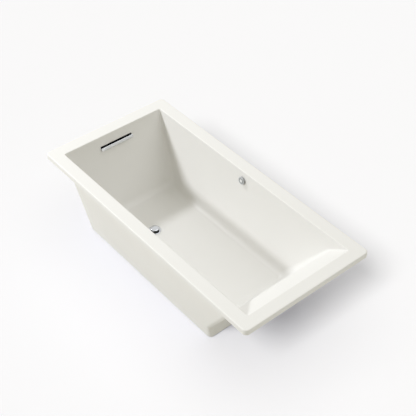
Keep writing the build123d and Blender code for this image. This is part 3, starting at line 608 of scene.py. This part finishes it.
# %% Rounded rectangles, one per row
def loops(x0, x1, half, radius, z, steps=12, margin=3.0):
    """A rounded rectangle for each row, anticlockwise seen from above.

    A corner point is its centre + radius (cos a, sin a). Each corner starts and ends with one more
    point, margin further along the straight side, so that the flat walls are shaded flat. The radius
    has one value per row, or two such lists: for the drain end and for the back.
    """
    x0, x1, half, z = (np.asarray(v, float)[:, None] for v in np.broadcast_arrays(x0, x1, half, z))
    quarter = np.concatenate([[0], np.linspace(0, np.pi / 2, steps), [np.pi / 2]])
    slide = margin * np.concatenate([[-1], np.zeros(steps), [1]])
    angle = (np.array([-1, 0, 1, 2])[:, None] * np.pi / 2 + quarter).ravel()
    slide = np.tile(slide, 4)
    at_back = np.repeat([True, True, False, False], steps + 2)
    side = np.repeat([-1.0, 1.0, 1.0, -1.0], steps + 2)
    drain_radius, back_radius = (radius, radius) if np.ndim(radius) < 2 else radius
    r = np.where(at_back, np.asarray(back_radius, float)[:, None], np.asarray(drain_radius, float)[:, None])
    x = np.where(at_back, x1 - r, x0 + r) + r * np.cos(angle) - slide * np.sin(angle)
    y = side * (half - r) + r * np.sin(angle) + slide * np.cos(angle)
    return np.stack([x, y, z + 0 * x], -1)


def floor_arc(height, lean, radius):
    """How far a wall leaning outwards by lean stands inside its straight line, for the arc at its foot.

    The arc of that radius touches both the wall and the floor. It starts a tangent length
    radius / tan((90 deg + lean) / 2) from the foot, and ends that length up the wall.
    """
    tangent = radius / math.tan((math.pi / 2 + lean) / 2)
    h = np.clip(height, 0, tangent * math.cos(lean))
    inside = tangent - np.sqrt(np.maximum(radius ** 2 - (radius - h) ** 2, 0)) + h * math.tan(lean)
    return np.where(height < tangent * math.cos(lean), inside, 0.0)


def edge_arc(depth, lean, radius):
    """How far the wall's top stands outside its straight line, for the arc between rim and wall."""
    tangent = radius * math.tan((math.pi / 2 - lean) / 2)
    d = np.clip(depth, 0, tangent * math.cos(lean))
    outside = tangent - np.sqrt(np.maximum(radius ** 2 - (radius - d) ** 2, 0)) + d * math.tan(lean)
    return np.where(depth < tangent * math.cos(lean), outside, 0.0)


print("the floor arc of the long walls begins",
      round(float(floor_arc(0.0, SIDE_LEAN, FLOOR_ARC)), 1), "mm inside their foot")


# %% The basin at any height
CREASE_REACH = 40.0  # the lines' distance beyond which their maximum needs no softening


def basin(z):
    """Drain wall, back wall, half width and corner radius of the basin at heights z.

    Each wall is a straight line plus its arcs. The backrest is the larger of two lines, neck rest and
    lower backrest, joined by the smooth maximum (a + b + sqrt((a - b)^2 + s^2)) / 2.
    """
    depth, height = HEIGHT - z, z - FLOOR
    neck = BACK_X - depth * math.tan(NECK_LEAN)
    lower = CREASE_X - (depth - NECK_DEPTH) * math.tan(BACK_LEAN)
    apart = np.abs(neck - lower)
    softened = np.sqrt(apart ** 2 + CREASE_SOFTNESS ** 2)
    back = (neck + lower + np.where(apart > CREASE_REACH, apart, softened)) / 2
    back = back + edge_arc(depth, NECK_LEAN, INNER_EDGE) - floor_arc(height, BACK_LEAN, FLOOR_ARC)
    drain = DRAIN_X + depth * math.tan(DRAIN_LEAN)
    drain = drain - edge_arc(depth, DRAIN_LEAN, INNER_EDGE) + floor_arc(height, DRAIN_LEAN, FLOOR_ARC)
    half = HALF_WIDTH - depth * math.tan(SIDE_LEAN)
    foot = floor_arc(height, SIDE_LEAN, FLOOR_ARC)
    top = edge_arc(depth, SIDE_LEAN, INNER_EDGE)
    corner = CORNER_TOP + depth / (HEIGHT - FLOOR) * (CORNER_FLOOR - CORNER_TOP) + top - foot
    return drain, back, half + top - foot, corner


heights = np.concatenate([
    HEIGHT - INNER_EDGE * (1 - np.cos(np.linspace(0, np.pi / 2, 8))),
    [500, 490, 475, 460, 450, 442, 438, 435, 433, 431.5],  # closer together towards the crease
    HEIGHT - NECK_DEPTH - np.array([0, 1.5, 3, 5, 8, 12, 20]),
    np.linspace(390, FLOOR + FLOOR_ARC + 3, 12),
    FLOOR + FLOOR_ARC * (1 - np.cos(np.linspace(np.pi / 2, 0, 18))),
])
drain, back, half, corner = basin(heights)
print("rim opening", round(back[0] - drain[0], 1), "x", round(2 * half[0], 1),
      "floor", round(back[-1] - drain[-1], 1), "x", round(2 * half[-1], 1))

# %% [markdown]
# The rim joins on outside the basin's first row. The shell's visible side is then one grid, from the
# lip's lower edge over the rim and down to the floor. The hidden side is the same grid moved 5 mm
# back along its own normals, which is how a sheet keeps its thickness round every bend.

# %% Visible side, hidden side and floor
out_arc = np.linspace(0, np.pi / 2, 8)
lip_z = np.array([LIP_BOTTOM, LIP_BOTTOM + GUARD, HEIGHT - RIM_EDGE - GUARD])
inset = np.concatenate([np.zeros(3), RIM_EDGE * (1 - np.cos(out_arc)), [RIM_EDGE + GUARD]])
outer_z = np.concatenate([lip_z, HEIGHT - RIM_EDGE + RIM_EDGE * np.sin(out_arc), [HEIGHT]])
outer_sizes = (inset - LENGTH / 2, LENGTH / 2 - inset, WIDTH / 2 - inset, RIM_CORNER - inset)
outer = loops(*outer_sizes, outer_z)
rim_shares = np.array([0.5, 0.97])
flat_rim = loops(*[a[-1] + rim_shares * (b[0] - a[-1])
                   for a, b in zip(outer_sizes, (drain, back, half, corner))], HEIGHT)
inner = loops(drain, back, half, corner, heights)
flat_floor = loops(drain[-1:] + 2 * GUARD, back[-1:] - 2 * GUARD, half[-1:] - 2 * GUARD,
                   np.maximum(corner[-1:] - 2 * GUARD, 1), FLOOR)
visible = np.concatenate([outer, flat_rim, inner, flat_floor])


def normals(points):
    """Unit normals of a grid: the cross product of its slopes along the columns and the rows."""
    along = np.roll(points, -1, 1) - np.roll(points, 1, 1)
    up = np.gradient(points, axis=0)
    n = np.cross(along, up)
    return n / np.linalg.norm(n, axis=2, keepdims=True)


hidden = visible - WALL * normals(visible)
shell_grid = np.concatenate([hidden[::-1], visible])
print("shell grid", shell_grid.shape, "lowest point", round(shell_grid[..., 2].min(), 2))

# %% [markdown]
# Three holes go through the shell: the drain in the floor, the overflow slot in the drain-end wall
# and the button's hole in the far long wall. Each tool is a prism that stands on the wall's own
# frame, so the holes are square to the walls. A frame is a point on the wall, a direction along it
# and the direction out of it.

# %% Frames of the fittings, and the holes
OVERFLOW_DROP, BUTTON_DROP = 70.0, 56.0
OVERFLOW_FRAME = ((DRAIN_X + OVERFLOW_DROP * math.tan(DRAIN_LEAN), 0.0, HEIGHT - OVERFLOW_DROP),
                  (0, 1, 0), (math.cos(DRAIN_LEAN), 0, math.sin(DRAIN_LEAN)))
BUTTON_FRAME = ((-15.0, HALF_WIDTH - BUTTON_DROP * math.tan(SIDE_LEAN), HEIGHT - BUTTON_DROP),
                (1, 0, 0), (0, -math.cos(SIDE_LEAN), math.sin(SIDE_LEAN)))
DRAIN_FRAME = ((-340.02, -45.5, FLOOR), (1, 0, 0), (0, 0, 1))
DRAIN_Y = DRAIN_FRAME[0][1]
SLOT_LENGTH, SLOT_HEIGHT, SLOT_CORNER, SLOT_MIDDLE = 216.0, 28.0, 5.0, 4.5
DRAIN_HOLE, BUTTON_HOLE, REACH = 24.0, 14.5, 12.0


def slab(length, height, radius, bottom, top):
    """A rounded rectangle drawn from bottom to top in a wall's own frame."""
    return loops([-length / 2] * 2, [length / 2] * 2, height / 2, np.array([radius] * 2), [bottom, top],
                 margin=0.5)


def drill(radius, bottom, top, frame_of_wall):
    """A round cutting tool from bottom to top in a wall's own frame."""
    return make_mesh("drill", [skin(turned([(radius, bottom), (radius, top)], *frame_of_wall))])


slot = slab(SLOT_LENGTH, SLOT_HEIGHT, SLOT_CORNER, -REACH, REACH) + [0, SLOT_MIDDLE, 0]
shell_mesh = cut(make_mesh("bath_shell_skin", [skin(shell_grid)]),
                 make_mesh("slot", [skin(placed(slot, *OVERFLOW_FRAME))]),
                 drill(DRAIN_HOLE, -REACH, REACH, DRAIN_FRAME),
                 drill(BUTTON_HOLE, -REACH, REACH, BUTTON_FRAME))
show(shell_mesh, "bath_shell")

# %% [markdown]
# ## The outer skin
# The white skin outside carries the rim down to the floor. It follows the basin at a small distance,
# stands upright at its foot and flares out under the backrest. It is built like the shell: one
# rounded rectangle per height, an arc at the foot, a flange turned in below, and 4 mm of thickness.

# %% Outer skin
SKIN_WALL, SIDE_GAP, BACK_GAP = 4.0, 10.0, 13.0  # thickness; skin's outside to the basin, square to it
END_REACH, FOOT_ARC, BACK_CORNER, FLANGE = 444.0, 20.0, 25.0, 60.0  # foot's end, two radii, width
DRAIN_END_INSET, DRAIN_END_LEAN = 66.0, math.radians(10.9)


def outer_skin(z):
    """Drain end, backrest end, half width and the two corner radii of the outer skin at heights z."""
    depth = HEIGHT - z
    drain = DRAIN_END_INSET - LENGTH / 2 + depth * math.tan(DRAIN_END_LEAN)
    lower = CREASE_X - (depth - NECK_DEPTH) * math.tan(BACK_LEAN) + BACK_GAP / math.cos(BACK_LEAN)
    neck = BACK_X - depth * math.tan(NECK_LEAN) + BACK_GAP / math.cos(NECK_LEAN)
    back = np.maximum(np.maximum(lower, neck), END_REACH)
    half = HALF_WIDTH - depth * math.tan(SIDE_LEAN) + SIDE_GAP / math.cos(SIDE_LEAN)
    corner = CORNER_TOP + depth / (HEIGHT - FLOOR) * (CORNER_FLOOR - CORNER_TOP) + SIDE_GAP
    foot = floor_arc(z, SIDE_LEAN, FOOT_ARC)
    return (drain + floor_arc(z, DRAIN_END_LEAN, FOOT_ARC), back - floor_arc(z, 0.0, FOOT_ARC),
            half - foot, (corner - foot, BACK_CORNER - foot))


# The fold is where the upright foot meets the line that follows the backrest.
fold = FLOOR + (END_REACH - CREASE_X + (HEIGHT - NECK_DEPTH - FLOOR) * math.tan(BACK_LEAN)
                - BACK_GAP / math.cos(BACK_LEAN)) / math.tan(BACK_LEAN)
skin_heights = np.concatenate([
    FOOT_ARC * (1 - np.cos(np.linspace(0, np.pi / 2, 9))), [25.0, 60.0],
    [fold - 3, fold, fold + 3], np.linspace(fold + 30, 395, 8),
    [408.0, 412, 416, 420, 424, 428, 440, 470, 502],  # closer together where the neck rest begins
])
drain_end, backrest_end, skin_half, skin_corners = outer_skin(skin_heights)
side_rows = loops(drain_end, backrest_end, skin_half, np.array(skin_corners), skin_heights)
turned_in = FLANGE - FOOT_ARC
flange_row = loops([drain_end[0] + turned_in], [backrest_end[0] - turned_in], [skin_half[0] - turned_in],
                   np.array([BACK_CORNER]), [0.0])
outside = np.concatenate([flange_row, side_rows])
outside_normals = normals(outside)
outside_normals[0] = (0, 0, -1)  # the flange lies flat
inside = outside - SKIN_WALL * outside_normals
jacket_grid = np.concatenate([outside, inside[::-1]])
print("fold at z", round(fold, 1), "grid", jacket_grid.shape)


# %% Openings of the outer skin
NOTCH_HALF, NOTCH_TOP = 26.3, 54.3  # lets the drain's pipe out at the foot
WINDOW_HALF, WINDOW_BOTTOM, WINDOW_TOP = 129.0, 395.3, 473.3  # lets the overflow's body out


def block(x0, x1, y0, y1, z0, z1):
    """A plain block used as a cutting tool."""
    corners = [[(x1, y0, z), (x1, y1, z), (x0, y1, z), (x0, y0, z)] for z in (z0, z1)]
    return skin(np.array(corners, float))


notch = block(-800, -550, DRAIN_Y - NOTCH_HALF, DRAIN_Y + NOTCH_HALF, -10, NOTCH_TOP)
window = block(-840, -706, -WINDOW_HALF, WINDOW_HALF, WINDOW_BOTTOM, WINDOW_TOP)
jacket_mesh = cut(make_mesh("outer_jacket_skin", [skin(jacket_grid, closed=True)]),
                  make_mesh("notch", [notch]), make_mesh("window", [window]),
                  drill(BUTTON_HOLE, -30, 0, BUTTON_FRAME))
show(jacket_mesh, "outer_jacket")

# %% [markdown]
# ## The overflow bar
# A polished bar stands 4 mm off the wall in front of the slot, on two pins. Polishing rounds its edges
# all the way round, which gives the bar its thin bright outline. The bar is a rounded section carried
# along its length, and the section shrinks along a quarter circle at both ends.

# %% Overflow bar
BAR_LENGTH, BAR_HEIGHT, BAR_BACK, BAR_FACE, BAR_EDGE = 220.0, 17.0, 4.0, 10.0, 2.0
PIN_RADIUS, PIN_REACH, PIN_X = 4.0, 22.0, 75.0


def bar(length, height, bottom, top, edge):
    """A rounded bar along local x: at each row the section is drawn in by edge (1 - sin a)."""
    turn = np.linspace(0.05, np.pi / 2, 6)
    end = length / 2 - edge * (1 - np.cos(turn))
    x = np.concatenate([-end, end[::-1]])
    drawn_in = np.concatenate([edge * (1 - np.sin(turn)), edge * (1 - np.sin(turn))[::-1]])
    sections = loops(drawn_in - height / 2, height / 2 - drawn_in, (top - bottom) / 2 - drawn_in,
                     np.maximum(edge - drawn_in, 0.1), x, steps=6, margin=0.2)
    return np.stack([sections[..., 2], sections[..., 0], sections[..., 1] + (top + bottom) / 2], -1)


bar_skin = skin(placed(bar(BAR_LENGTH, BAR_HEIGHT, BAR_BACK, BAR_FACE, BAR_EDGE), *OVERFLOW_FRAME))
pin_profile = [(PIN_RADIUS, -PIN_REACH), (PIN_RADIUS, BAR_BACK + 1)]
pins = [skin(placed(turned(pin_profile, (x, 0, 0), (1, 0, 0), (0, 0, 1), 32), *OVERFLOW_FRAME))
        for x in (-PIN_X, PIN_X)]
show(make_mesh("overflow_bar", [bar_skin, *pins]), "overflow_trim")

# %% [markdown]
# ## The drain
# The flange is a cast and polished ring with a domed lip that runs down into a cup. Four arms at the
# bottom of its bore hold the post. The stopper above is a thin domed cap on a sleeve, shown raised.
# A profile lists the corners of its section as (radius, height), with the radius of each corner's
# arc beside them.

# %% Drain flange and crossbar
SEAL = 1.0  # the flange stands on a seal of this thickness
flange_profile = eased(
    [(19, -27), (23, -27), (23, 0), (36.5, 0), (36.5, 2.4), (33, 3), (26.6, 3), (26, 1), (19, 1)],
    [0.5, 0.5, 0.3, 0.6, 1.2, 2.0, 0.5, 0.5, 0.6]) + [0, SEAL]
flange = skin(turned(flange_profile, *DRAIN_FRAME), closed=True)
arm = slab(42, 5, 0.8, -27, -22)
arms = [skin(placed(arm, DRAIN_FRAME[0], across, (0, 0, 1))) for across in ((1, 0, 0), (0, 1, 0))]
hub = skin(turned([(7, -27), (7, -21.6), (6.6, -21.2)], *DRAIN_FRAME, columns=48))
show(make_mesh("drain_flange_skin", [flange, *arms, hub]), "drain_flange")

# %% Stopper
FLANGE_TOP, SEAT_DEPTH, TRAVEL, CLEARANCE, CAP_SEAL = SEAL + 3, 2.0, 10.0, 0.3, 3.0
CAP_BASE = FLANGE_TOP + TRAVEL + CLEARANCE - SEAT_DEPTH + CAP_SEAL  # the cap's underside, raised
SLEEVE, SLEEVE_BORE = 25.0, 4.3
dome = np.linspace(0, 1, 10)[1:]
cap_profile = np.concatenate([
    [[SLEEVE_BORE, -1], [SLEEVE_BORE, -SLEEVE]],
    eased([(7, -SLEEVE), (7, 0), (24, 0), (24, 2.6), (21.8, 3.4)], [0.3, 0.6, 0.4, 1.5, 0.3],
          closed=False),
    np.stack([21.5 * np.sqrt(1 - dome ** 2) + 0.3, 3.4 + 1.1 * dome], -1),
]) + [0, CAP_BASE]
show(make_mesh("stopper_cap_skin", [skin(turned(cap_profile, *DRAIN_FRAME))]), "stopper_cap", "stopper")

# %% [markdown]
# ## The button
# The button on the far wall is a turned housing with a well, a frosted ring let into its face, and a
# slightly hollow cap that slides in the well. All three are turned profiles in the wall's own frame.

# %% Button housing, ring and cap
bezel_profile = eased(
    [(13, -27), (14, -27), (14, 1), (22, 1), (22, 12), (20.5, 12), (20.5, 10.5), (18.2, 10.5),
     (18.2, 12), (17.2, 12), (17.2, 5), (13, 5)],
    [0.2, 0.2, 0.3, 0.3, 2.0, 0.15, 0.1, 0.1, 0.15, 0.5, 0.2, 0.2])
ring_profile = eased([(18.2, 10.5), (20.5, 10.5), (20.5, 12.2), (18.2, 12.2)], [0.1, 0.1, 0.5, 0.5])
hollow = np.linspace(0, 1, 12)[:-1]
cap_profile = np.concatenate([
    eased([(4, -10), (4, 7.3), (16.9, 7.3), (16.9, 13.3), (15.2, 13.3)], [0.3, 0.3, 0.3, 1.5, 0.1],
          closed=False),
    np.stack([15.2 * (1 - hollow), 13.3 - 0.9 * hollow * (2 - hollow)], -1),
])
for name, profile, closed, body in (
        ("button_bezel", bezel_profile, True, "bath"),
        ("button_ring", ring_profile, True, "bath"),
        ("button_cap", cap_profile, False, "button")):
    show(make_mesh(name + "_skin", [skin(turned(profile, *BUTTON_FRAME), closed)]), name, body)

# %% [markdown]
# ## Slip nuts
# Four ribbed nuts squeeze a washer onto each pipe. Fingers turn them, so they have broad flutes. The
# flutes are a second parameter on a turned profile: the radius dips by a rounded cosine twelve times a
# turn on the outer side, fades at both rims, and the bore stays round.

# %% Slip nuts
def fluted(profile, depth, count, origin, across, out, columns=288):
    """A turned grid whose radius dips by depth * share * (0.5 - 0.5 cos(count a)) ** 3.

    The profile's rows are (radius, height, share of the flutes' depth).
    """
    rows = np.array(profile, float)
    angle = np.linspace(0, 2 * np.pi, columns, endpoint=False)
    dip = depth * (0.5 - 0.5 * np.cos(count * angle)) ** 3
    radius = rows[:, :1] - rows[:, 2:] * dip
    local = np.stack([radius * np.cos(angle), radius * np.sin(angle), rows[:, 1:2] + 0 * angle], -1)
    return placed(local, origin, across, out)


NUT_PROFILE = [(22.3, -12, 0), (24.6, -12, 0), (25.6, -11.2, 0.5), (26, -10, 1), (26, 8, 1),
               (25.4, 9.4, 0.6), (24.2, 10, 0), (19.5, 10, 0), (19.3, 9.8, 0), (19.3, 6, 0),
               (22.3, 5.9, 0)]
FLUTE_DEPTH, FLUTES = 1.6, 12
STACK_X, SPIGOT_END, TEE_TOP, TEE_MIDDLE, TEE_REACH = 46.0 - LENGTH / 2, 379.0, 95.0, 28.0, 50.0
mouths = [((STACK_X, DRAIN_Y, SPIGOT_END), (1, 0, 0), (0, 0, -1)),
          ((STACK_X, DRAIN_Y, TEE_TOP), (1, 0, 0), (0, 0, 1)),
          ((STACK_X + TEE_REACH, DRAIN_Y, TEE_MIDDLE), (0, 1, 0), (1, 0, 0)),
          ((STACK_X, DRAIN_Y + TEE_REACH, TEE_MIDDLE), (1, 0, 0), (0, 1, 0))]
nuts = [skin(fluted(NUT_PROFILE, FLUTE_DEPTH, FLUTES, *mouth), closed=True) for mouth in mouths]
show(make_mesh("slip_nut_skins", nuts), "slip_nuts")
